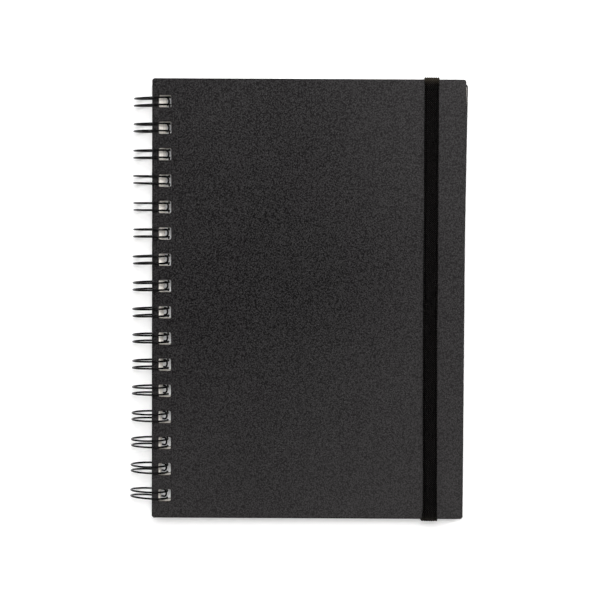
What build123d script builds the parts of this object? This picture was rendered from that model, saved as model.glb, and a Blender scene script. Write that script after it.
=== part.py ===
from build123d import *
from build123d.topology import SkipClean
from math import cos, sin, radians
import os

# A5 sketchbook: hard covers, double-loop wire binding, elastic closure band.
# +X points from the wire to the fore-edge, +Y to the head, +Z to the front
# cover. The origin is the middle of the footprint, at the underside of the
# wire. Heights (suffix _h) are measured from the axis of the wire.

os.makedirs("parts", exist_ok=True)

# axis of the wire, parallel to Y
axis_x = -72.18
axis_z = 8.70

# covers
cover_w = 151.0            # spine edge to fore-edge
cover_l = 212.5            # tail to head
cover_corner = 1.2         # plan radius of the cover corners
skin_t = 0.20              # leatherette
board_t = 1.95             # greyboard
lining_t = 0.15            # endpaper
cover_t = skin_t + board_t + lining_t
turn_in = 14.0             # leatherette folded over onto the inner face
lining_inset = 2.0         # endpaper held back from the cover edge
edge_round = 0.40          # rounding of the outer edges of the leatherette
board_w = cover_w - 2 * skin_t
board_l = cover_l - 2 * skin_t
wrap_t = board_t + skin_t  # leatherette and board together

# punched holes, 2:1 pitch
pitch = 12.7
loops = 16
hole_w = 6.0
hole_l = 5.9
hole_corner = 0.7
hole_edge = 3.2            # spine edge of the cover to the near side of a hole
hole_mid = hole_edge + hole_w / 2
cover_mid = cover_w / 2 - hole_mid
hole_spots = [(0, (loops - 1) / 2 * pitch - i * pitch) for i in range(loops)]

# resting field: plain rectangle on the outer face of the back cover
rest_spine_margin = 14.0
rest_fore_margin = 6.0
rest_w = cover_w - rest_spine_margin - rest_fore_margin
rest_l = 170.0
rest_mid = rest_spine_margin + rest_w / 2 - hole_mid

# sheets
sheet_w = 148.0
sheet_l = 210.0
sheet_t = 0.15
sheet_gap = 0.0063
sheet_edge = 2.9           # spine edge of a sheet to the near side of a hole
sheet_mid = sheet_w / 2 - sheet_edge - hole_w / 2
lower_count = 20
leaf_count = 6
upper_count = 10
sheet_total = lower_count + leaf_count + upper_count

# heights of the stack
front_outer_h = 5.80
back_outer_h = -5.55
front_inner_h = front_outer_h - cover_t
back_inner_h = back_outer_h + cover_t
front_board_h = front_inner_h + lining_t     # inner face of the front board
back_board_h = back_outer_h + skin_t         # outer face of the back board
back_lining_h = back_inner_h - lining_t      # inner face of the back board
link_room = 1.05           # room for the wire's links, under the last sheet
sheet_step = sheet_t + sheet_gap
stack_h = sheet_total * sheet_step - sheet_gap    # thickness of all the sheets
stack_bottom_h = (front_inner_h + back_inner_h + link_room - stack_h) / 2

# the punched columns sit loosely on the wire: distance from the axis to the
# middle of the holes, and turn in plan (degrees) about that point
front_shift, front_skew = 7.30, 0.34
back_shift, back_skew = 7.75, -0.28
top_sheet_shift, top_sheet_skew = 8.00, 0.15
low_sheet_shift, low_sheet_skew = 9.45, -0.45
sheet_lean = 1.5           # exponent of the change from low to top sheet

# wire
wire_d = 0.90
loop_r = 8.25              # radius of a loop, to the middle of the wire
pair_gap = 3.45            # between the two wires of one loop
half_gap = pair_gap / 2
bend_r = 1.0               # bend from a loop into a link
half_link = pitch / 2 - half_gap - bend_r
seam_deg = -12.4           # where the loops leave the links
tip_deg = 320.6            # where the closed tips begin

# elastic band
band_w = 6.7
band_t = 0.90
band_x = 135.45            # from the axis of the wire, half way up
band_skew = 0.45           # turn in plan
band_clear = 0.05          # between the band and a cover's outer face
band_side_clear = 0.08     # between the band and a cover's head or tail edge
band_bend = 0.50           # bends of the band, at the middle of its thickness
band_front_h = front_outer_h + band_clear + band_t / 2
band_back_h = back_outer_h - band_clear - band_t / 2
strap_half = 102.0         # half length of the straight run over the front
strap_gap = 0.05           # between that run and each wrapped end

# slots for the band, and beds for its glued ends, in the back cover
slot_y = 96.0
slot_w = 7.5
slot_l = 1.5
tab_l = 15.0               # glued end between the board and the endpaper
tab_clear = 0.02           # between a glued end and the endpaper
bed_depth = band_t + 0.05
bed_l = tab_l + 1.0
bed_y = slot_y + slot_l / 2 - bed_l / 2


def save(part, name):
    part.label = name
    export_step(part, f"parts/{name}.step")


def level(height, shift, skew):
    """Plane at a height above the wire axis, origin on the punched column."""
    return Plane(
        origin=(axis_x + shift, 0, axis_z + height),
        x_dir=(cos(radians(skew)), sin(radians(skew)), 0),
        z_dir=(0, 0, 1),
    )


def front_level(height):
    return level(height, front_shift, front_skew)


def back_level(height):
    return level(height, back_shift, back_skew)


# ---------------------------------------------------------------------------
# outlines, drawn into the sketch that is open
# ---------------------------------------------------------------------------
def draw_cover():
    with Locations((cover_mid, 0)):
        RectangleRounded(cover_w, cover_l, cover_corner)


def draw_board():
    with Locations((cover_mid, 0)):
        RectangleRounded(board_w, board_l, cover_corner - skin_t)


def draw_window():
    """Window between the turned-in edges of the leatherette."""
    with Locations((cover_mid, 0)):
        Rectangle(cover_w - 2 * turn_in, cover_l - 2 * turn_in)


def draw_holes(mode=Mode.ADD):
    with Locations(*hole_spots):
        RectangleRounded(hole_w, hole_l, hole_corner, mode=mode)


def draw_rest(mode=Mode.ADD):
    with Locations((rest_mid, 0)):
        Rectangle(rest_w, rest_l, mode=mode)


def slot_x(side):
    """X of the band's slot at the head (+1) or tail (-1)."""
    return axis_x + band_x - side * slot_y * sin(radians(band_skew))


def draw_slots():
    with Locations(*[(slot_x(side), side * slot_y) for side in (1, -1)]):
        Rectangle(slot_w, slot_l)


def draw_beds():
    with Locations(*[(slot_x(side), side * bed_y) for side in (1, -1)]):
        Rectangle(slot_w, bed_l)


# ---------------------------------------------------------------------------
# covers
# ---------------------------------------------------------------------------
def build_front_board():
    with BuildPart() as board:
        with BuildSketch(front_level(front_board_h + skin_t)):
            draw_board()
            draw_holes(Mode.SUBTRACT)
        extrude(amount=board_t - skin_t)
        # the middle of the board fills the window
        with BuildSketch(front_level(front_board_h)):
            draw_window()
        extrude(amount=skin_t)
    save(board.part, "front_board")


def build_front_wrap():
    """Leatherette: a rounded block, hollowed for the board and punched."""
    with BuildPart() as wrap:
        with BuildSketch(front_level(front_board_h)):
            draw_cover()
        extrude(amount=wrap_t)
        fillet(wrap.faces().sort_by(Axis.Z)[-1].outer_wire().edges(), edge_round)
        with BuildSketch(front_level(front_board_h + skin_t)):
            draw_board()
        extrude(amount=board_t - skin_t, mode=Mode.SUBTRACT)
        with BuildSketch(front_level(front_board_h)):
            draw_window()
        extrude(amount=skin_t, mode=Mode.SUBTRACT)
        with BuildSketch(front_level(front_board_h)):
            draw_holes()
        extrude(amount=wrap_t, mode=Mode.SUBTRACT)
    save(wrap.part, "front_wrap")


def build_back_board():
    with BuildPart() as board:
        with BuildSketch(back_level(back_board_h)):
            draw_board()
            draw_holes(Mode.SUBTRACT)
        extrude(amount=board_t - skin_t)
        # the middle of the board fills the window
        with BuildSketch(back_level(back_lining_h - skin_t)):
            draw_window()
        extrude(amount=skin_t)
        # slots for the band, and shallow beds for its glued ends
        with BuildSketch(Plane.XY.offset(axis_z + back_board_h)):
            draw_slots()
        extrude(amount=board_t, mode=Mode.SUBTRACT)
        with BuildSketch(Plane.XY.offset(axis_z + back_lining_h - bed_depth)):
            draw_beds()
        extrude(amount=bed_depth, mode=Mode.SUBTRACT)
    save(board.part, "back_board")


def build_back_wrap():
    """Leatherette of the back cover, its outer face in two patches.

    The resting field stays apart from the border around it, which carries
    the punched column and the slots, because faces are not merged here.
    """
    with SkipClean(), BuildPart() as wrap:
        with BuildSketch(back_level(back_outer_h)):
            draw_cover()
            draw_rest(Mode.SUBTRACT)
        extrude(amount=wrap_t)
        fillet(wrap.faces().sort_by(Axis.Z)[0].outer_wire().edges(), edge_round)
        with BuildSketch(back_level(back_outer_h)):
            draw_rest()
        extrude(amount=wrap_t, clean=False)
        # hollow for the board
        with BuildSketch(back_level(back_board_h)):
            draw_board()
        extrude(amount=board_t - skin_t, mode=Mode.SUBTRACT, clean=False)
        with BuildSketch(back_level(back_lining_h - skin_t)):
            draw_window()
        extrude(amount=skin_t, mode=Mode.SUBTRACT, clean=False)
        # holes, slots and beds
        with BuildSketch(back_level(back_outer_h)):
            draw_holes()
        extrude(amount=wrap_t, mode=Mode.SUBTRACT, clean=False)
        with BuildSketch(Plane.XY.offset(axis_z + back_outer_h)):
            draw_slots()
        extrude(amount=wrap_t, mode=Mode.SUBTRACT, clean=False)
        with BuildSketch(Plane.XY.offset(axis_z + back_lining_h - skin_t)):
            draw_beds()
        extrude(amount=skin_t, mode=Mode.SUBTRACT, clean=False)
    save(wrap.part, "back_wrap")


def build_endpaper(name, underside):
    with BuildPart() as endpaper:
        with BuildSketch(underside):
            with Locations((cover_mid, 0)):
                Rectangle(cover_w - 2 * lining_inset, cover_l - 2 * lining_inset)
            draw_holes(Mode.SUBTRACT)
        extrude(amount=lining_t)
    save(endpaper.part, name)


# ---------------------------------------------------------------------------
# sheets, counted from the back cover; the lower ones hang against the inside
# of the wire, and the upper ones lie nearer the front cover's place
# ---------------------------------------------------------------------------
def sheet_level(i):
    """Plane of the underside of sheet i."""
    blend = ((i + 0.5) / sheet_total) ** sheet_lean
    return level(
        stack_bottom_h + i * sheet_step,
        low_sheet_shift + (top_sheet_shift - low_sheet_shift) * blend,
        low_sheet_skew + (top_sheet_skew - low_sheet_skew) * blend,
    )


def build_sheets(name, first, count=1):
    with BuildPart() as sheets:
        for i in range(first, first + count):
            with BuildSketch(sheet_level(i)):
                with Locations((sheet_mid, 0)):
                    Rectangle(sheet_w, sheet_l)
                with Locations(*hole_spots):
                    Rectangle(hole_w, hole_l, mode=Mode.SUBTRACT)
            extrude(amount=sheet_t)
    save(sheets.part, name)


# ---------------------------------------------------------------------------
# double-loop wire; angles run from +X towards +Z about the wire axis
# ---------------------------------------------------------------------------
def radial(degrees):
    return Vector(cos(radians(degrees)), 0, sin(radians(degrees)))


def tangent(degrees):
    return Vector(-sin(radians(degrees)), 0, cos(radians(degrees)))


def loop_point(degrees, y):
    return Vector(axis_x, y, axis_z) + radial(degrees) * loop_r


def loop_section(degrees, y):
    """Plane across the wire at a point of the loop."""
    return Plane(origin=loop_point(degrees, y), x_dir=(0, 1, 0), z_dir=tangent(degrees))


def make_loop():
    """One loop about y = 0, with half a link on each side."""
    with BuildPart() as loop:
        # the two arcs
        with BuildSketch(loop_section(seam_deg, 0)):
            with Locations((half_gap, 0), (-half_gap, 0)):
                Circle(wire_d / 2)
        revolve(
            axis=Axis((axis_x, 0, axis_z), (0, -1, 0)),
            revolution_arc=tip_deg - seam_deg,
        )
        # the closed tip
        with BuildSketch(loop_section(tip_deg, 0)):
            with Locations((half_gap, 0)):
                Circle(wire_d / 2)
        revolve(
            axis=Axis(loop_point(tip_deg, 0), radial(tip_deg)),
            revolution_arc=180,
        )
        # the bends into the links, and half a link each way
        for side in (1, -1):
            bend_center = loop_point(seam_deg, side * (half_gap + bend_r))
            with BuildSketch(loop_section(seam_deg, side * half_gap)):
                Circle(wire_d / 2)
            revolve(
                axis=Axis(bend_center, radial(seam_deg) * side),
                revolution_arc=90,
            )
            link_start = bend_center - tangent(seam_deg) * bend_r
            with BuildSketch(
                Plane(origin=link_start, x_dir=(1, 0, 0), z_dir=(0, side, 0))
            ):
                Circle(wire_d / 2)
            extrude(amount=half_link)
    return loop.part


def build_wire():
    loop = make_loop()
    with BuildPart() as wire:
        with Locations(*[(x, y, 0) for x, y in hole_spots]):
            add(loop)
    save(wire.part, "twin_loop_wire")


# ---------------------------------------------------------------------------
# elastic band: a straight run over the front, and an end wrapped round the
# head and tail edges and through the slots of the back cover
# ---------------------------------------------------------------------------
def build_strap():
    with BuildPart() as strap:
        with BuildSketch(level(band_front_h - band_t / 2, band_x, band_skew)):
            Rectangle(band_w, 2 * strap_half)
        extrude(amount=band_t)
    save(strap.part, "elastic_strap")


def band_side_y(side, shift, skew):
    """Y of the band's middle beside the head (+1) or tail (-1) edge of a cover."""
    edge_y = side * cover_l / 2 + (band_x - shift) * sin(radians(skew))
    return edge_y + side * (band_t / 2 + band_side_clear)


def build_band_end(name, side):
    front_y = band_side_y(side, front_shift, front_skew)
    back_y = band_side_y(side, back_shift, back_skew)
    tab_h = back_lining_h - tab_clear - band_t / 2
    with BuildPart() as band_end:
        with BuildSketch(Plane.YZ.offset(slot_x(side) - band_w / 2)):
            with BuildLine():
                FilletPolyline(
                    (side * (strap_half + strap_gap), axis_z + band_front_h),
                    (front_y, axis_z + band_front_h),
                    (front_y, axis_z + front_inner_h),
                    (back_y, axis_z + back_inner_h),
                    (back_y, axis_z + band_back_h),
                    (side * slot_y, axis_z + band_back_h),
                    (side * slot_y, axis_z + tab_h),
                    (side * (slot_y - tab_l), axis_z + tab_h),
                    radius=band_bend,
                )
            trace(line_width=band_t)
        extrude(amount=band_w)
    save(band_end.part, name)


build_front_board()
build_front_wrap()
build_endpaper("front_endpaper", front_level(front_inner_h))
build_back_board()
build_back_wrap()
build_endpaper("back_endpaper", back_level(back_lining_h))

build_sheets("lower_sheets", 0, lower_count)
# single leaves: leaf_1 is the uppermost
for n in range(1, leaf_count + 1):
    build_sheets(f"leaf_{n}", lower_count + leaf_count - n)
build_sheets("upper_sheets", lower_count + leaf_count, upper_count)

build_wire()
build_strap()
build_band_end("elastic_head_wrap", 1)
build_band_end("elastic_tail_wrap", -1)
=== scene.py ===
import math
import random

import bmesh
import bpy
from mathutils import Matrix, Vector, geometry, noise


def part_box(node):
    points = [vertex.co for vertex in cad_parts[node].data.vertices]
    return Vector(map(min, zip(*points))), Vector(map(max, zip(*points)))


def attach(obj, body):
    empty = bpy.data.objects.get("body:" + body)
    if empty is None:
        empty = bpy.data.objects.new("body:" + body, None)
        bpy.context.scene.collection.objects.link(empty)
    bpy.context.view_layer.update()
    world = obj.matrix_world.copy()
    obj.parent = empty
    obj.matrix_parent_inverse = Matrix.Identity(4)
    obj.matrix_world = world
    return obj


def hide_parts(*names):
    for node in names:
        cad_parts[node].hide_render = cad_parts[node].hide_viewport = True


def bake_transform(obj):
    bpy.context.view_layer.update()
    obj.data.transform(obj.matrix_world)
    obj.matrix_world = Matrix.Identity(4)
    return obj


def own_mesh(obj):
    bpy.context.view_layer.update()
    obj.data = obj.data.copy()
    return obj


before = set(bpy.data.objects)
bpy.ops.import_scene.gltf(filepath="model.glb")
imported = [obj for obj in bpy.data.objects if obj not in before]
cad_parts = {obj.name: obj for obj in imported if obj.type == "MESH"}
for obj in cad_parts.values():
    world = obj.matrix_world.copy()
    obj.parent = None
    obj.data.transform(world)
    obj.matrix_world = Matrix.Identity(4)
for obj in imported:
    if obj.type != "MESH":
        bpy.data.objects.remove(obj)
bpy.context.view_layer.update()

# ---------------------------------------------------------------------------
# driving dimensions, millimetres
# ---------------------------------------------------------------------------
AXIS_X, AXIS_Z = -72.18, 8.70  # the wire's axis

# covers
COVER_W, COVER_L, CORNER_R = 151.0, 212.5, 1.2
SKIN_T, BOARD_T, LINING_T = 0.20, 1.95, 0.15
COVER_T = SKIN_T + BOARD_T + LINING_T
FRONT_OUT, BACK_OUT = 5.80, -5.55  # outer faces, above the wire's axis
FRONT_IN, BACK_IN = FRONT_OUT - COVER_T, BACK_OUT + COVER_T

# punched holes: one column of rows, from head to tail
PITCH, ROW_COUNT = 12.7, 16
HOLE_W, HOLE_L, HOLE_R = 6.0, 5.9, 0.7
ROWS = [(ROW_COUNT - 1) / 2 * PITCH - i * PITCH for i in range(ROW_COUNT)]
HOLE_MID = 3.2 + HOLE_W / 2  # from a cover's spine edge to the middle of its holes

# places of the layers on the wire: (shift towards +X, skew in degrees)
FRONT, BACK = (7.30, 0.34), (7.75, -0.28)
TOP_SHEET, LOW_SHEET = (8.00, 0.15), (9.45, -0.45)

# sheets
SHEET_W, SHEET_L, SHEET_T, SHEET_GAP = 148.0, 210.0, 0.15, 0.0063
SHEET_EDGE = 2.9  # from a sheet's spine edge to its holes
LOWER, LEAVES, UPPER = 20, 6, 10  # sheets in the lower block, single leaves, upper block
LINK_ROOM = 1.05  # extra room under the stack

# double-loop wire
WIRE_D, LOOP_R, PAIR_GAP, BEND_R = 0.90, 8.25, 3.45, 1.0
SEAM, TIP = math.radians(-12.4), math.radians(320.6)  # where a loop starts and turns back

# elastic band, and the slots it enters in the back cover
BAND_T, BAND_X, BAND_SKEW, BAND_CLEAR = 0.90, 135.45, math.radians(0.45), 0.05
SLOT_Y, SLOT_W, SLOT_L, TAB_L, STRAP_HALF = 96.0, 7.5, 1.5, 15.0, 102.0
HEAD_X = AXIS_X + BAND_X - SLOT_Y * math.sin(BAND_SKEW)
TAIL_X = AXIS_X + BAND_X + SLOT_Y * math.sin(BAND_SKEW)


def lay(place, x, y):
    """Move a layer's point (x, y), measured from its hole column, to its place."""
    shift, skew = place
    cos, sin = math.cos(math.radians(skew)), math.sin(math.radians(skew))
    return AXIS_X + shift + x * cos - y * sin, x * sin + y * cos


# ---------------------------------------------------------------------------
# mesh helpers
# ---------------------------------------------------------------------------
class Shape:
    """Vertices in millimetres and faces, made into an object in metres."""

    def __init__(self):
        self.points, self.faces, self.smooth = [], [], []

    def ring(self, points):
        """Add points and return their indices."""
        first = len(self.points)
        self.points += [tuple(p) for p in points]
        return list(range(first, len(self.points)))

    def face(self, ids, smooth=True):
        self.faces.append(tuple(ids))
        self.smooth.append(smooth)

    def bridge(self, ring_a, ring_b, closed=True, smooth=True):
        count = len(ring_a)
        for i in range(count if closed else count - 1):
            j = (i + 1) % count
            self.face((ring_a[i], ring_a[j], ring_b[j], ring_b[i]), smooth)

    def loft(self, rings, closed=True):
        for ring_a, ring_b in zip(rings, rings[1:]):
            self.bridge(ring_a, ring_b, closed)

    def cap(self, outer, holes, extra=(), smooth=True):
        """Fill between an outline and holes, through the extra points."""
        triangles = fill(
            [self.points[i] for i in outer],
            [[self.points[i] for i in hole] for hole in holes],
            extra,
        )
        ids = outer + [i for hole in holes for i in hole] + self.ring(extra)
        for triangle in triangles:
            self.face([ids[i] for i in triangle], smooth)

    def make(self, name, material, outward=True):
        mesh = bpy.data.meshes.new(name)
        mesh.from_pydata(
            [(x / 1000, y / 1000, z / 1000) for x, y, z in self.points], [], self.faces
        )
        mesh.materials.append(material)
        mesh.polygons.foreach_set("use_smooth", self.smooth)
        if outward:
            bm = bmesh.new()
            bm.from_mesh(mesh)
            bmesh.ops.recalc_face_normals(bm, faces=bm.faces)
            bm.to_mesh(mesh)
            bm.free()
        mesh.update()
        obj = bpy.data.objects.new(name, mesh)
        bpy.context.scene.collection.objects.link(obj)
        return obj


def sharpen(obj, degrees):
    """Keep creases above an angle."""
    obj.data.set_sharp_from_angle(angle=math.radians(degrees))


def rounded(width, length, radius, mid_x, mid_y, steps):
    """Rounded rectangle of 4 (steps + 1) points."""
    radius = max(radius, 0.001)
    points = []
    for side_x, side_y, start in ((1, 1, 0), (-1, 1, 90), (-1, -1, 180), (1, -1, 270)):
        for k in range(steps + 1):
            angle = math.radians(start + 90 * k / steps)
            x = mid_x + side_x * (width / 2 - radius) + radius * math.cos(angle)
            y = mid_y + side_y * (length / 2 - radius) + radius * math.sin(angle)
            points.append((x, y))
    return points


def inside(x, y, outline):
    hit = False
    for i in range(len(outline)):
        x0, y0 = outline[i - 1][:2]
        x1, y1 = outline[i][:2]
        if (y0 > y) != (y1 > y) and x < (x1 - x0) * (y - y0) / (y1 - y0) + x0:
            hit = not hit
    return hit


def fill(outer, holes, extra=()):
    """Triangles between an outline and its holes. Indices follow outer, holes, extra."""
    points, edges = [], []
    for loop in [outer] + list(holes):
        first, count = len(points), len(loop)
        points += [Vector(p[:2]) for p in loop]
        edges += [(first + i, first + (i + 1) % count) for i in range(count)]
    points += [Vector(p[:2]) for p in extra]
    verts, _, faces, origins, _, _ = geometry.delaunay_2d_cdt(points, edges, [], 1, 1e-7)
    triangles = []
    for face in faces:
        mid_x = sum(verts[i][0] for i in face) / len(face)
        mid_y = sum(verts[i][1] for i in face) / len(face)
        if any(inside(mid_x, mid_y, hole) for hole in holes):
            continue
        ids = [origins[i][0] for i in face if origins[i]]
        if len(ids) == len(face):
            triangles.append(ids)
    return triangles


# ---------------------------------------------------------------------------
# materials
# ---------------------------------------------------------------------------
class Shader:
    """A material and short ways to write its nodes. Inputs are values or sockets."""

    def __init__(self, name):
        self.material = bpy.data.materials.new(name)
        self.material.use_nodes = True
        self.tree = self.material.node_tree

    def feed(self, node, inputs):
        for key, value in inputs.items():
            socket = node.inputs[key]
            if isinstance(value, bpy.types.NodeSocket):
                self.tree.links.new(value, socket)
            else:
                socket.default_value = (*value, 1) if socket.type == "RGBA" else value

    def add(self, kind, inputs=None, **settings):
        """Add a node and return its outputs."""
        node = self.tree.nodes.new(kind)
        for key, value in settings.items():
            setattr(node, key, value)
        self.feed(node, inputs or {})
        return node.outputs

    def surface(self, inputs):
        """Feed the Principled BSDF and return the material."""
        self.feed(self.tree.nodes["Principled BSDF"], inputs)
        return self.material

    def coords(self, scale=(1, 1, 1)):
        here = self.add("ShaderNodeTexCoord")["Object"]
        return self.add("ShaderNodeMapping", {"Vector": here, "Scale": scale})[0]

    def noise(self, at, scale, detail=2.0, roughness=0.5):
        inputs = {"Vector": at, "Scale": scale, "Detail": detail, "Roughness": roughness}
        return self.add("ShaderNodeTexNoise", inputs)["Fac"]

    def ramp(self, factor, low, high):
        """Colour ramp between two stops (position, colour)."""
        node = self.tree.nodes.new("ShaderNodeValToRGB")
        for element, (position, colour) in zip(node.color_ramp.elements, (low, high)):
            element.position = position
            element.color = (*colour, 1)
        self.feed(node, {"Fac": factor})
        return node.outputs["Color"]

    def remap(self, value, from_min=0.0, from_max=1.0, to_min=0.0, to_max=1.0, smooth=False):
        inputs = {
            "Value": value,
            "From Min": from_min,
            "From Max": from_max,
            "To Min": to_min,
            "To Max": to_max,
        }
        kind = "SMOOTHSTEP" if smooth else "LINEAR"
        return self.add("ShaderNodeMapRange", inputs, interpolation_type=kind)["Result"]

    def math(self, operation, *operands, clamp=False):
        inputs = dict(enumerate(operands))
        return self.add("ShaderNodeMath", inputs, operation=operation, use_clamp=clamp)[0]

    def plus(self, a, b):
        return self.math("ADD", a, b)

    def minus(self, a, b):
        return self.math("SUBTRACT", a, b)

    def times(self, a, b):
        return self.math("MULTIPLY", a, b)

    def mix(self, factor, a, b):
        return self.add("ShaderNodeMix", {0: factor, 6: a, 7: b}, data_type="RGBA")[2]

    def bump(self, height, distance, strength):
        inputs = {"Strength": strength, "Distance": distance, "Height": height}
        return self.add("ShaderNodeBump", inputs)["Normal"]


def linear(*levels):
    """sRGB levels, 0-255, to linear."""
    shares = [level / 255 for level in levels]
    return tuple(v / 12.92 if v <= 0.04045 else ((v + 0.055) / 1.055) ** 2.4 for v in shares)


def leatherette():
    """Black leatherette: fine irregular pebbles over a soft crinkle, under a painted light that
    is paler towards the fore-edge, the tail and both ends.
    """
    mat = Shader("leatherette")
    here = mat.coords()
    # pebbles on a slightly warped grid; the warp's size is in metres
    warp = mat.times(mat.minus(mat.noise(here, scale=420), 0.5), 0.0010)
    shift = mat.add("ShaderNodeCombineXYZ", {0: warp, 1: warp})[0]
    moved = mat.add("ShaderNodeVectorMath", {0: here, 1: shift}, operation="ADD")[0]
    pebble = mat.add(
        "ShaderNodeTexVoronoi",
        {"Scale": 1500, "Smoothness": 0.35, "Vector": moved},
        feature="SMOOTH_F1",
    )["Distance"]
    crinkle = mat.noise(here, scale=1500, detail=3, roughness=0.62)
    fine = mat.noise(here, scale=3600)
    # height: shares of pebble, crinkle and fine grain
    height = mat.plus(
        mat.times(mat.minus(1.0, pebble), 0.40),
        mat.plus(mat.times(crinkle, 0.55), mat.times(fine, 0.45)),
    )
    crest = mat.remap(height, from_min=0.60, from_max=0.96)
    # painted light and sheen: paler towards the fore-edge, the tail and both ends; the blotches
    # are random tone
    axes = mat.add("ShaderNodeSeparateXYZ", {0: here})
    x, y = axes["X"], axes["Y"]
    across = mat.remap(x, from_min=-0.012, from_max=0.095, smooth=True)
    painted_end_light = mat.times(mat.times(y, y), 22.0)
    tail = mat.remap(y, from_min=0.02, from_max=-0.11, smooth=True)
    broad = mat.noise(here, scale=14, detail=3, roughness=0.55)
    painted_fore_edge_light = mat.times(across, 0.62)
    painted_tail_light = mat.times(tail, 0.44)
    painted_light_gradient = mat.minus(mat.plus(painted_fore_edge_light, painted_tail_light), mat.times(painted_fore_edge_light, painted_tail_light))
    blotches = mat.times(mat.minus(broad, 0.5), 0.5)
    tone = mat.math("ADD", painted_light_gradient, mat.plus(painted_end_light, blotches), clamp=True)
    valley_colour = mat.mix(tone, (0.0034, 0.0030, 0.0032), (0.0165, 0.0153, 0.0156))
    crest_colour = mat.mix(tone, (0.0325, 0.0305, 0.0315), (0.0410, 0.0388, 0.0390))
    # a base shine, more on crests and a little more where the painted light is pale, a painted
    # sheen; the painted light also lowers the roughness
    shine = mat.plus(mat.times(crest, 0.12), mat.plus(0.02, mat.times(tone, 0.04)))
    return mat.surface({
        "Base Color": mat.mix(crest, valley_colour, crest_colour),
        "Roughness": mat.remap(tone, to_min=0.52, to_max=0.42),
        "Specular IOR Level": shine,
        "Normal": mat.bump(height, distance=0.00022, strength=0.8),
    })


def greyboard():
    """Raw board: beige and fibrous."""
    mat = Shader("greyboard")
    fibre = mat.noise(mat.coords((1, 1, 3)), scale=900, detail=4, roughness=0.65)
    return mat.surface({
        "Base Color": mat.ramp(fibre, (0.3, linear(84, 76, 68)), (0.7, linear(140, 129, 117))),
        "Roughness": 0.9,
        "Normal": mat.bump(fibre, distance=0.0002, strength=0.6),
    })


def black_paper():
    """Endpaper: matt black uncoated paper."""
    mat = Shader("endpaper")
    tooth = mat.noise(mat.coords(), scale=1500, detail=4, roughness=0.7)
    dark, pale = (0.012, 0.0118, 0.0122), (0.024, 0.0235, 0.0240)
    return mat.surface({
        "Base Color": mat.ramp(tooth, (0.25, dark), (0.75, pale)),
        "Roughness": 0.78,
        "Specular IOR Level": 0.12,
        "Normal": mat.bump(tooth, distance=0.00008, strength=0.5),
    })


def paper(name, layered, dark, pale):
    """Off-white paper with faint tooth; in a layered block the tone changes with height."""
    mat = Shader(name)
    here = mat.coords()
    tooth = mat.noise(here, scale=1800, detail=4, roughness=0.7)
    if layered:
        tone = mat.noise(mat.coords((6, 6, 5200)), scale=1.0, roughness=0.6)
    else:
        tone = mat.noise(here, scale=9)
    base = mat.ramp(tone, (0.3, dark), (0.7, pale))
    return mat.surface({
        "Base Color": mat.mix(mat.times(tooth, 0.12), base, linear(198, 190, 180)),
        "Roughness": 0.85,
        "Specular IOR Level": 0.25,
        "Normal": mat.bump(tooth, distance=0.00005, strength=0.4),
    })


def black_wire():
    """Black coated wire: satin and slightly uneven."""
    mat = Shader("black_wire")
    here = mat.coords()
    patches = mat.noise(here, scale=260, detail=3, roughness=0.6)
    fine = mat.noise(here, scale=2200)
    dark, pale = (0.0003, 0.0003, 0.0004), (0.0010, 0.0010, 0.0011)
    return mat.surface({
        "Base Color": mat.ramp(patches, (0.35, dark), (0.75, pale)),
        "Roughness": mat.remap(patches, to_min=0.16, to_max=0.26),
        "Specular IOR Level": 0.13,
        "Normal": mat.bump(fine, distance=0.00003, strength=0.3),
    })


def woven_elastic():
    """Black braided elastic: yarns crossing in rows of small dots over the ribs, with painted
    shade in the grooves and a painted highlight where it turns round the edges.
    """
    mat = Shader("woven_elastic")
    here = mat.coords()

    def own(name):
        """An attribute of the band's mesh."""
        return mat.add("ShaderNodeAttribute", attribute_name=name)["Fac"]

    wobble = mat.times(mat.minus(mat.noise(here, scale=600), 0.5), 1.6)
    # yarn waves, in radians per millimetre
    wave_across = mat.math("SINE", mat.plus(mat.times(own("across"), 6.6), wobble))
    wave_along = mat.math("SINE", mat.plus(mat.times(own("along"), 5.9), wobble))
    dots = mat.plus(mat.times(mat.times(wave_across, wave_along), 0.5), 0.5)
    fuzz = mat.noise(here, scale=2600, detail=3, roughness=0.65)
    height = mat.plus(mat.times(dots, 0.50), mat.times(fuzz, 0.60))
    yarn = mat.ramp(height, (0.67, (0.0, 0.0, 0.0)), (0.83, (0.0560, 0.0522, 0.0505)))
    # painted shade: the grooves between the ribs are darkened towards black, still showing a
    # little yarn
    rib = mat.plus(mat.times(own("rib"), 0.85), 0.15)
    groove_shaded_braid = mat.mix(rib, (0.0002, 0.0002, 0.0002), yarn)
    # painted highlight where the band turns round the covers' edges: brownish, as if lit,
    # strongest at the head, which faces the light
    dim_highlight, bright_highlight = (0.016, 0.0135, 0.0095), (0.074, 0.064, 0.049)
    painted_highlight_colour = mat.ramp(height, (0.30, dim_highlight), (0.80, bright_highlight))
    return mat.surface({
        "Base Color": mat.mix(own("painted_turn_highlight"), groove_shaded_braid, painted_highlight_colour),
        "Roughness": 0.75,
        "Specular IOR Level": 0.0,
        "Sheen Weight": 0.02,
        "Sheen Roughness": 0.3,
        "Sheen Tint": (1.0, 0.92, 0.80),
        "Normal": mat.bump(height, distance=0.00014, strength=0.8),
    })


def pale_floor():
    """White floor that glows, a painted light: faintly near the book, which lightens the
    shadows there, and more with distance so that it fades into the backdrop.
    """
    mat = Shader("pale_floor")
    distance = mat.add("ShaderNodeVectorMath", {0: mat.coords()}, operation="LENGTH")["Value"]
    return mat.surface({
        "Base Color": (0.93, 0.93, 0.93),
        "Roughness": 0.9,
        "Specular IOR Level": 0.1,
        "Emission Color": (1, 1, 1),
        "Emission Strength": mat.remap(
            distance, from_min=0.28, from_max=1.3, to_min=0.17, to_max=0.68, smooth=True
        ),
    })


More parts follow.
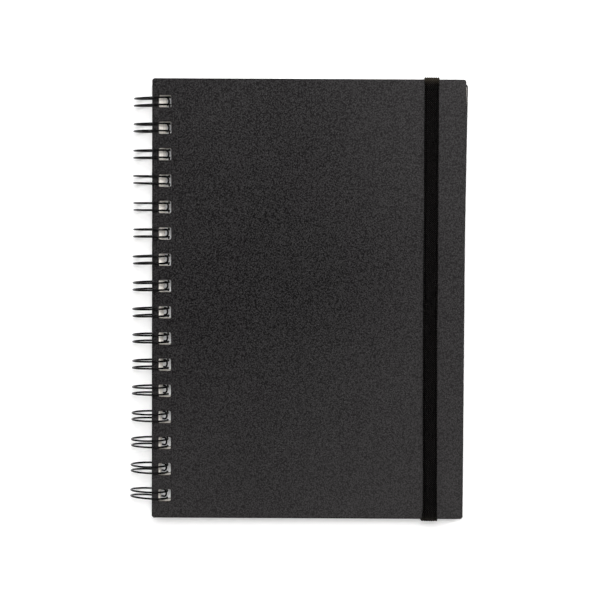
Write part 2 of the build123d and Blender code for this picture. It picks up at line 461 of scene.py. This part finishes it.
SKIN, BOARD, LINING = leatherette(), greyboard(), black_paper()
PAPER = paper("paper", True, dark=linear(212, 207, 200), pale=linear(238, 235, 229))
PAGE = paper("page", False, dark=linear(202, 197, 190), pale=linear(222, 219, 213))
WIRE, ELASTIC = black_wire(), woven_elastic()

# ---------------------------------------------------------------------------
# covers: the leatherette drawn over the board, turned in at the edges
# ---------------------------------------------------------------------------
FLAT_INSET = 0.80  # the outer face is flat from here inwards
# round the board's edge and back: (inset from the edge, depth under the outer face)
SKIN_PROFILE = [
    (FLAT_INSET, 0.0), (0.52, 0.02), (0.28, 0.09), (0.10, 0.23), (0.02, 0.42),
    (0.0, 0.62), (0.0, 1.62), (0.04, 1.80), (0.13, 1.98), (0.30, 2.11),
    (0.50, 2.15), (2.9, 2.15), (2.9, 1.95), (0.20, 1.95), (0.20, 0.20),
]
# rim of an opening: (how far it is cut outside the board's opening, depth)
RIM_PROFILE = [(0.13, 0.0), (0.06, 0.03), (0.03, 0.09), (0.02, SKIN_T)]
SURFACE_STEP = 3.6  # spacing of the points on the outer face
EDGE_KEEP, OPENING_KEEP = 1.4, 0.7  # margins left free of them
SINK, LUMP = 0.030, 0.045  # how far the face sinks, and how uneven it is


def clearance(x, y, width, length):
    """Distance outside an opening's rim, from (x, y) measured from its middle."""
    return max(abs(x) - width / 2, abs(y) - length / 2) - 0.3


def uneven_face(place, up, slots, out_z):
    """Points that make the outer face very slightly uneven."""
    points = []
    for i in range(1, int(COVER_W / SURFACE_STEP)):
        for j in range(1, int(COVER_L / SURFACE_STEP)):
            x = -HOLE_MID + i * SURFACE_STEP
            y = -COVER_L / 2 + j * SURFACE_STEP
            if x > COVER_W - HOLE_MID - EDGE_KEEP or y > COVER_L / 2 - EDGE_KEEP:
                continue
            laid_x, laid_y = lay(place, x, y)
            near = min(
                [clearance(x, y - row, HOLE_W, HOLE_L) for row in ROWS]
                + [clearance(laid_x - sx, laid_y - sy, SLOT_W, SLOT_L) for sx, sy in slots]
            )
            if near < OPENING_KEEP:
                continue
            edge = min(x + HOLE_MID, COVER_W - HOLE_MID - x, COVER_L / 2 - abs(y)) - FLAT_INSET
            fade = min(1.0, near / 6) * min(1.0, edge / 7)
            broad = noise.noise(Vector((x / 26, y / 26, 3.1 * up)))
            small = noise.noise(Vector((x / 9, y / 9, 7.7 * up)))
            drop = fade * (SINK + LUMP * (0.6 * broad + 0.4 * small))
            points.append((laid_x, laid_y, out_z - up * drop))
    return points


def cover_skin(name, node, place, up, slots):
    """up +1: outer face on top; up -1: outer face underneath."""
    lo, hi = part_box(node)
    out_z = (hi if up > 0 else lo).z * 1000
    shape = Shape()
    rings = []
    for inset, depth in SKIN_PROFILE:
        outline = rounded(
            COVER_W - 2 * inset,
            COVER_L - 2 * inset,
            CORNER_R + 0.15 - inset,
            COVER_W / 2 - HOLE_MID,
            0,
            steps=8,
        )
        rings.append(shape.ring([(*lay(place, x, y), out_z - up * depth) for x, y in outline]))
    shape.loft(rings)

    def rim(outline_at):
        """Rings down the side of an opening, from its outline at a given growth."""
        loops = [
            shape.ring([(*p, out_z - up * depth) for p in outline_at(grow)])
            for grow, depth in RIM_PROFILE
        ]
        shape.loft(loops)
        return loops

    def hole_outline(row, grow):
        outline = rounded(
            HOLE_W + 2 * grow, HOLE_L + 2 * grow, HOLE_R + grow, 0, row, steps=4
        )
        return [lay(place, x, y) for x, y in outline]

    def slot_outline(x, y, grow):
        return rounded(SLOT_W + 2 * grow, SLOT_L + 2 * grow, 0.2 + grow, x, y, steps=4)

    rims = [rim(lambda grow: hole_outline(row, grow)) for row in ROWS]
    rims += [rim(lambda grow: slot_outline(x, y, grow)) for x, y in slots]
    # the outer face, then the underside of the outer layer
    shape.cap(rings[0], [loops[0] for loops in rims], uneven_face(place, up, slots, out_z))
    shape.cap(rings[-1], [loops[-1] for loops in rims], smooth=False)
    obj = shape.make(name, SKIN)
    sharpen(obj, 40)
    normals = obj.modifiers.new("normals", "WEIGHTED_NORMAL")
    normals.keep_sharp = True
    normals.weight = 80
    return obj


for part, place, up, slots in (
    ("front", FRONT, 1, []),
    ("back", BACK, -1, [(HEAD_X, SLOT_Y), (TAIL_X, -SLOT_Y)]),
):
    skin = cover_skin(f"{part}_cover_skin", f"{part}_wrap", place, up, slots)
    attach(skin, f"{part}_cover")
    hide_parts(f"{part}_wrap")

# ---------------------------------------------------------------------------
# sheets: each one its own thin solid, punched, hanging a little differently
# ---------------------------------------------------------------------------
TOTAL = LOWER + LEAVES + UPPER
SHEET_STEP = SHEET_T + SHEET_GAP
STACK = TOTAL * SHEET_STEP - SHEET_GAP
STACK_Z = AXIS_Z + (FRONT_IN + BACK_IN + LINK_ROOM - STACK) / 2
SAG, WAVE = 0.93, 0.02  # fall of the lowest sheet's free edge, and its waviness

rng = random.Random(20)
# each sheet's own offset: (across, along, skew in degrees)
JITTER = [
    (rng.uniform(-0.26, 0.02), rng.uniform(-0.20, 0.20), rng.uniform(-0.02, 0.02))
    for _ in range(TOTAL)
]

# a sheet is a punched strip by the spine and a plain grid beyond it;
# x and y are measured from the hole column
SPINE_X = -SHEET_EDGE - HOLE_W / 2
STRIP_X = 6.0
GRID_XS = [STRIP_X + (SHEET_W + SPINE_X - STRIP_X) * k / 22 for k in range(23)]
GRID_YS = [SHEET_L / 2 - SHEET_L * k / 14 for k in range(15)]
STRIP = [
    (SPINE_X, -SHEET_L / 2),
    *[(STRIP_X, y) for y in reversed(GRID_YS)],
    (SPINE_X, SHEET_L / 2),
]
STRIP_HOLES = [
    [(x * HOLE_W / 2, row + y * HOLE_L / 2) for x, y in ((-1, -1), (1, -1), (1, 1), (-1, 1))]
    for row in ROWS
]
STRIP_POINTS = STRIP + [p for hole in STRIP_HOLES for p in hole]
STRIP_FACES = fill(STRIP, STRIP_HOLES)


def add_sheet(shape, index):
    """index counts from the bottom of the stack."""
    level = (index + 0.5) / TOTAL
    across, along, skew = JITTER[index]
    place = (
        LOW_SHEET[0] + (TOP_SHEET[0] - LOW_SHEET[0]) * level**1.5 + across,
        LOW_SHEET[1] + (TOP_SHEET[1] - LOW_SHEET[1]) * level**1.5 + skew,
    )

    def put(x, y, z):
        # the sag starts 9 mm from the holes and is full 128 mm further on
        reach = min(1.0, max(0.0, (x - 9) / 128.0))
        drop = SAG * (1 - level) * reach * reach * (3 - 2 * reach)
        wave = WAVE * (1 - level) * reach * math.sin(y / 31.0 + 1.3 * level)
        return (*lay(place, x, y + along), z - drop - abs(wave))

    edges, holes = [], []
    bottom = STACK_Z + index * SHEET_STEP
    for z in (bottom, bottom + SHEET_T):
        ids = shape.ring([put(x, y, z) for x, y in STRIP_POINTS])
        for triangle in STRIP_FACES:
            shape.face([ids[k] for k in triangle], False)
        # columns from head to tail; the first one is the strip's own
        grid = [ids[len(GRID_YS):0:-1]]
        grid += [shape.ring([put(x, y, z) for y in GRID_YS]) for x in GRID_XS[1:]]
        shape.loft(grid, closed=False)
        edges.append(
            [ids[len(STRIP) - 1]]
            + [column[0] for column in grid]
            + grid[-1][1:]
            + [column[-1] for column in reversed(grid[:-1])]
            + [ids[0]]
        )
        holes.append([ids[k : k + 4] for k in range(len(STRIP), len(ids), 4)])
    shape.bridge(*edges, smooth=False)
    for low, high in zip(*holes):
        shape.bridge(low, high, smooth=False)


def sheet_block(name, first, end, material):
    shape = Shape()
    for index in range(first, end):
        add_sheet(shape, index)
    obj = shape.make(name, material)
    sharpen(obj, 40)
    return obj


lower = sheet_block("lower_sheet_block", 0, LOWER, PAPER)
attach(lower, "back_cover")
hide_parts("lower_sheets")
upper = sheet_block("upper_sheet_block", LOWER + LEAVES, TOTAL, PAPER)
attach(upper, "upper_sheets")
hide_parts("upper_sheets")
# leaves are numbered from the top
for k in range(1, LEAVES + 1):
    index = LOWER + LEAVES - k
    leaf = sheet_block(f"leaf_{k}_page", index, index + 1, PAGE)
    # each leaf's placement is baked into its mesh
    if k >= 4:
        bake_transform(leaf)
    else:
        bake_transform(leaf)
    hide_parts(f"leaf_{k}")

# ---------------------------------------------------------------------------
# double-loop wire, one continuous bent wire
# ---------------------------------------------------------------------------
# Each double loop as it was closed, from head to tail: how far its free side leans
# along the spine, how much wider than high it is, and the gap between its two arcs
LEANS = [
    -0.45, -0.01, -0.11, 0.43, 0.07, -0.05, -0.43, -0.49,
    -0.51, -0.28, -0.27, -0.24, -0.2, -0.25, 0.01, 0.45,
]
OVALS = [
    0.10, 0.14, 0.14, 0.14, -0.04, -0.04, 0.10, 0.10,
    0.10, 0.10, 0.10, 0.12, 0.25, 0.40, 0.46, 0.56,
]
GAPS = [
    3.42, 3.38, 3.45, 3.40, 3.36, 3.43, 3.38, 3.42,
    3.45, 3.40, 3.34, 3.22, 3.10, 2.88, 2.82, 2.90,
]
HELD_OVAL = 0.62  # widening on the side inside the holes
ARC_STEPS, TIP_STEPS, BEND_STEPS, WIRE_SIDES = 60, 12, 6, 12
HALF_PAIR = PAIR_GAP / 2
# a straight link between two loops lies one bend radius before the seam
LINK_X = AXIS_X + LOOP_R * math.cos(SEAM) + BEND_R * math.sin(SEAM)
LINK_Z = AXIS_Z + LOOP_R * math.sin(SEAM) - BEND_R * math.cos(SEAM)
wire_rng = random.Random(7)


def tube(shape, path, radius, sides):
    """Rotation-minimising tube along a list of points."""
    points = [Vector(p) for p in path]
    last = len(points) - 1
    tangents = [
        (points[min(i + 1, last)] - points[max(i - 1, 0)]).normalized()
        for i in range(len(points))
    ]
    side = tangents[0].orthogonal().normalized()
    rings = []
    for i, (centre, tangent) in enumerate(zip(points, tangents)):
        if i:
            side = tangents[i - 1].rotation_difference(tangent) @ side
            side = (side - tangent * side.dot(tangent)).normalized()
        other = tangent.cross(side)
        angles = [2 * math.pi * k / sides for k in range(sides)]
        rings.append(
            shape.ring(
                [centre + radius * (math.cos(a) * side + math.sin(a) * other) for a in angles]
            )
        )
    shape.loft(rings)
    shape.face(rings[0])
    shape.face(rings[-1])


def double_loop(index):
    """One double loop: out of a link, round, back at the tip, round and into a link."""
    # closing the loops drew the coil out a little along the spine
    drift = 0.0042 * ROWS[index] - 0.05
    row = ROWS[index] + drift
    twist = wire_rng.uniform(-0.10, 0.10)
    swell = wire_rng.uniform(-0.06, 0.10)

    def bend(side, k):
        angle = math.pi / 2 * k / BEND_STEPS
        y = row + side * (HALF_PAIR + BEND_R * (1 - math.sin(angle)))
        run = BEND_R * (1 - math.cos(angle))
        return LINK_X - run * math.sin(SEAM), y, LINK_Z + run * math.cos(SEAM)

    def arc(side, k):
        theta = SEAM + (TIP - SEAM) * k / ARC_STEPS
        u = (theta - SEAM) / (TIP - SEAM)
        free = math.sin(math.pi * min(1, max(0, u))) ** 2
        half = HALF_PAIR + (GAPS[index] / 2 - HALF_PAIR) * free**0.8
        y = row + side * half + (LEANS[index] - drift) * free
        y += twist * math.sin(2 * math.pi * u)
        radius = LOOP_R + swell * free * side
        return AXIS_X + radius * math.cos(theta), y, AXIS_Z + radius * math.sin(theta)

    def tip(k):
        angle = math.pi * k / TIP_STEPS
        run = HALF_PAIR * math.sin(angle)
        x = AXIS_X + LOOP_R * math.cos(TIP) - run * math.sin(TIP)
        z = AXIS_Z + LOOP_R * math.sin(TIP) + run * math.cos(TIP)
        return x, row + HALF_PAIR * math.cos(angle), z

    path = [bend(1, k) for k in range(BEND_STEPS + 1)]
    path += [arc(1, k) for k in range(1, ARC_STEPS + 1)]
    path += [tip(k) for k in range(1, TIP_STEPS)]
    path += [arc(-1, k) for k in range(ARC_STEPS, 0, -1)]
    path += [bend(-1, k) for k in range(BEND_STEPS, -1, -1)]
    # stretch it across the spine, more on the side inside the holes
    free_scale, held_scale = 1 + OVALS[index] / LOOP_R, 1 + HELD_OVAL / LOOP_R
    return [
        (AXIS_X + (x - AXIS_X) * (held_scale if x > AXIS_X else free_scale), y, z)
        for x, y, z in path
    ]


wire_path = [(LINK_X, ROWS[0] + PITCH / 2, LINK_Z)]
for index in range(ROW_COUNT):
    wire_path += double_loop(index)
wire_path.append((LINK_X, ROWS[-1] - PITCH / 2, LINK_Z))
wire_shape = Shape()
tube(wire_shape, wire_path, WIRE_D / 2, WIRE_SIDES)
wire = wire_shape.make("twin_wire", WIRE)
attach(wire, "back_cover")
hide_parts("twin_loop_wire")

# ---------------------------------------------------------------------------
# elastic band: ribbed braid
# ---------------------------------------------------------------------------
RIBS, RIB_STEPS = 7, 8
GROOVE, EDGE_ROUND = 0.24, 0.30  # depth of a full groove, rounding of the outer edges
STRAP_STEPS = 102


def band_section(width):
    """Points (across, through, rib height) round a ribbed flat braid."""
    count = RIBS * RIB_STEPS
    top = []
    for k in range(count + 1):
        u = -1 + 2 * k / count
        lobe = 0.5 - 0.5 * math.cos(2 * math.pi * RIBS * (u + 1) / 2)
        # the cords next to the edges stand apart from the middle ones
        deep = 1.0 if abs(abs(u) - (1 - 2 / RIBS)) < 0.5 / RIBS else 0.45
        shoulder = min(1.0, (1 - abs(u)) / 0.10)
        low = (1 - lobe) * (deep if abs(u) < 0.97 else 0.5)
        z = BAND_T / 2 - GROOVE * low - EDGE_ROUND * (1 - shoulder) ** 2
        top.append((u * (width / 2 - 0.03), z, 1 - low))
    return top + [(x, -z, rib) for x, z, rib in reversed(top)]


def band_sweep(name, stations):
    """stations: (centre, across direction, through direction, width, painted highlight 0-1)."""
    shape = Shape()
    rings = []
    attributes = {"rib": [], "across": [], "along": [], "painted_turn_highlight": []}
    run, before = 0.0, Vector(stations[0][0])
    for centre, across, through, width, turn_highlight in stations:
        centre, across, through = Vector(centre), Vector(across), Vector(through)
        run += (centre - before).length
        before = centre
        section = band_section(width)
        rings.append(shape.ring([centre + across * x + through * z for x, z, _ in section]))
        attributes["rib"] += [rib for _, _, rib in section]
        attributes["across"] += [x for x, _, _ in section]
        attributes["along"] += [run] * len(section)
        attributes["painted_turn_highlight"] += [turn_highlight] * len(section)
    shape.loft(rings)
    shape.face(rings[0], False)
    shape.face(rings[-1], False)
    obj = shape.make(name, ELASTIC)
    for key, values in attributes.items():
        obj.data.attributes.new(key, "FLOAT", "POINT").data.foreach_set("value", values)
    sharpen(obj, 60)
    return obj


def strap_width(y):
    return 7.05 - 0.12 * abs(y) / STRAP_HALF


def strap_bow(y):
    """The relaxed band lies a little off its straight line."""
    return 0.12 + 0.08 * max(0, y) / STRAP_HALF + 0.36 * (max(0, -y) / STRAP_HALF) ** 2


def strap_stations():
    """The straight run over the front cover, from tail to head."""
    lo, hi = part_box("elastic_strap")
    strap_z = (lo.z + hi.z) * 500
    cos, sin = math.cos(BAND_SKEW), math.sin(BAND_SKEW)
    stations = []
    for k in range(STRAP_STEPS + 1):
        y = -STRAP_HALF + 2 * STRAP_HALF * k / STRAP_STEPS
        wobble = 0.035 * math.sin(y / 17.0) + 0.02 * math.sin(y / 6.3 + 1)
        x = AXIS_X + BAND_X - y * sin + wobble * cos + strap_bow(y)
        width = strap_width(y) + 0.05 * math.sin(y / 11.0)
        stations.append(((x, y * cos, strap_z), (cos, sin, 0), (0, 0, 1), width, 0.0))
    return stations


strap = band_sweep("elastic_band", strap_stations())
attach(strap, "elastic")
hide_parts("elastic_strap")


def edge_y(side, place):
    """Where the band crosses a cover's head (+1) or tail (-1) edge."""
    shift, skew = place
    return side * COVER_L / 2 + (BAND_X - shift) * math.sin(math.radians(skew))


def fillet_path(corners, radius, steps=5, spacing=1.2):
    """Polyline (y, z) with rounded corners, and short steps along the runs."""
    corners = [Vector(p) for p in corners]
    rough = [corners[0]]
    for before, corner, after in zip(corners, corners[1:], corners[2:]):
        back, ahead = (before - corner).normalized(), (after - corner).normalized()
        turn = math.pi - back.angle(ahead)
        cut = radius * math.tan(turn / 2)
        centre = corner + (back + ahead).normalized() * (radius / math.cos(turn / 2))
        start = corner + back * cut - centre
        end = corner + ahead * cut - centre
        angle = math.atan2(start.y, start.x)
        sweep = (math.atan2(end.y, end.x) - angle + math.pi) % (2 * math.pi) - math.pi
        for k in range(steps + 1):
            a = angle + sweep * k / steps
            rough.append(centre + Vector((math.cos(a), math.sin(a))) * radius)
    rough.append(corners[-1])
    dense = [rough[0]]
    for p, q in zip(rough, rough[1:]):
        count = max(1, int((q - p).length / spacing))
        dense += [p + (q - p) * k / count for k in range(1, count + 1)]
    return dense


BAND_FRONT_Z = AXIS_Z + FRONT_OUT + BAND_CLEAR + BAND_T / 2
BAND_BACK_Z = AXIS_Z + BACK_OUT - BAND_CLEAR - BAND_T / 2
TAB_Z = AXIS_Z + BACK_IN - LINING_T - 0.02 - BAND_T / 2  # under the back cover's lining
EDGE_OFF = BAND_T / 2 + BAND_CLEAR + 0.03


def turn_stations(side, slot_x, flare, peak_turn_highlight):
    """Round both covers' edges, along the back and through the slot to the tab."""
    front_y = edge_y(side, FRONT) + side * EDGE_OFF
    back_y = edge_y(side, BACK) + side * EDGE_OFF
    path = fillet_path(
        [
            (side * (STRAP_HALF + 0.02), BAND_FRONT_Z),
            (front_y, BAND_FRONT_Z),
            (front_y, AXIS_Z + FRONT_IN),
            (back_y, AXIS_Z + BACK_IN),
            (back_y, BAND_BACK_Z),
            (side * SLOT_Y, BAND_BACK_Z),
            (side * SLOT_Y, TAB_Z),
            (side * (SLOT_Y - TAB_L), TAB_Z),
        ],
        radius=0.50,
    )
    stations = []
    for k, point in enumerate(path):
        y, z = point
        tangent = (path[min(k + 1, len(path) - 1)] - path[max(k - 1, 0)]).normalized()
        # spread over the front cover's edge, and back to the slot's width
        distance = (Vector((front_y, BAND_FRONT_Z - 0.5)) - point).length
        swell = flare * math.exp(-((distance / 3.2) ** 2))
        under_cover = z < AXIS_Z + BACK_OUT + 1.2 and abs(y) < abs(back_y) - 1.0
        width = strap_width(STRAP_HALF) + swell - (0.15 if under_cover else 0.0)
        # the bow fades out on the way down to the slot
        keep = min(1.0, max(0.0, (z - (AXIS_Z + BACK_OUT)) / 9.0))
        x = slot_x + strap_bow(side * STRAP_HALF) * keep - 0.18 * swell
        through = (0, -tangent.y * side, tangent.x * side)
        # painted highlight on the turn, strongest at the front cover's edge
        turn_highlight = peak_turn_highlight * math.exp(-((distance / 1.7) ** 2))
        stations.append(((x, y, z), (1, 0, 0), through, width, turn_highlight))
    return stations


# each end's flare and its peak painted highlight; the head, facing the light, gets more
for end, side, slot_x, flare, peak_turn_highlight in (
    ("head", 1, HEAD_X, 0.45, 0.65),
    ("tail", -1, TAIL_X, 0.90, 0.15),
):
    band_turn = band_sweep(f"elastic_{end}_turn", turn_stations(side, slot_x, flare, peak_turn_highlight))
    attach(band_turn, "back_cover")
    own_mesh(band_turn)
    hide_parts(f"elastic_{end}_wrap")

# boards and endpapers keep their CAD meshes and take only a finish
for node, material in (
    ("front_board", BOARD),
    ("back_board", BOARD),
    ("front_endpaper", LINING),
    ("back_endpaper", LINING),
):
    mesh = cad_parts[node].data
    mesh.materials.clear()
    mesh.materials.append(material)

# ---------------------------------------------------------------------------
# stage: floor, backdrop, lights and camera
# ---------------------------------------------------------------------------
# the floor touches the wire and rises FLOOR_RISE by the time it reaches FLOOR_RISE_X
FLOOR_HALF, FLOOR_GAP, FLOOR_RISE, FLOOR_RISE_X = 2600, 0.02, 2.2, 64.0
slope = FLOOR_RISE / (FLOOR_RISE_X - AXIS_X)
floor_shape = Shape()
corners = [
    (x * FLOOR_HALF, y * FLOOR_HALF, (x * FLOOR_HALF - AXIS_X) * slope - FLOOR_GAP)
    for x, y in ((-1, -1), (1, -1), (1, 1), (-1, 1))
]
floor_shape.face(floor_shape.ring(corners), False)
floor = floor_shape.make("floor", pale_floor(), outward=False)


def studio_world(ambient):
    """Soft white ambient light; the camera itself sees a full white backdrop."""
    world = bpy.data.worlds.new("studio")
    bpy.context.scene.world = world
    world.use_nodes = True
    nodes, links = world.node_tree.nodes, world.node_tree.links
    light = nodes["Background"]
    seen = nodes.new("ShaderNodeLightPath")
    backdrop = nodes.new("ShaderNodeBackground")
    for background, strength in ((light, ambient), (backdrop, 1.0)):
        background.inputs["Color"].default_value = (1, 1, 1, 1)
        background.inputs["Strength"].default_value = strength
    pick = nodes.new("ShaderNodeMixShader")
    links.new(seen.outputs["Is Camera Ray"], pick.inputs[0])
    links.new(light.outputs[0], pick.inputs[1])
    links.new(backdrop.outputs[0], pick.inputs[2])
    links.new(pick.outputs[0], nodes["World Output"].inputs["Surface"])


def area(name, at, size, watts, target=(0.0, 0.0, 0.0)):
    """Rectangular light aimed at a target, in metres."""
    light = bpy.data.lights.new(name, "AREA")
    light.shape = "RECTANGLE"
    light.size, light.size_y = size
    light.energy = watts
    obj = bpy.data.objects.new(name, light)
    obj.location = at
    obj.rotation_euler = (Vector(target) - Vector(at)).to_track_quat("-Z", "Y").to_euler()
    bpy.context.scene.collection.objects.link(obj)


def add_camera(at, view_angle, turn_x, turn_y, turn_z):
    """Camera looking down, its frame's top towards the head; turns in radians."""
    data = bpy.data.cameras.new("camera")
    data.sensor_fit = "HORIZONTAL"
    data.angle = math.radians(view_angle)
    data.clip_start, data.clip_end = 0.01, 20
    camera = bpy.data.objects.new("camera", data)
    turn = (
        Matrix.Rotation(turn_z, 4, "Z")
        @ Matrix.Rotation(turn_y, 4, "Y")
        @ Matrix.Rotation(turn_x, 4, "X")
    )
    camera.matrix_world = Matrix.Translation(at) @ turn
    bpy.context.scene.collection.objects.link(camera)
    bpy.context.scene.camera = camera


studio_world(ambient=0.28)
area("key", at=(0.70, 0.56, 0.78), size=(0.30, 0.36), watts=6.0)
area("fill", at=(0.35, -0.75, 0.85), size=(0.5, 0.4), watts=1.4, target=(0.05, -0.05, 0.0))
area("overhead", at=(-0.06, 0.24, 1.13), size=(0.44, 0.44), watts=10.5)
add_camera(
    at=(0.00121, 0.039944, 0.883965),
    view_angle=18.892,
    turn_x=-0.04556,
    turn_y=0.00136,
    turn_z=0.01076,
)
bpy.context.scene.view_settings.view_transform = "Standard"
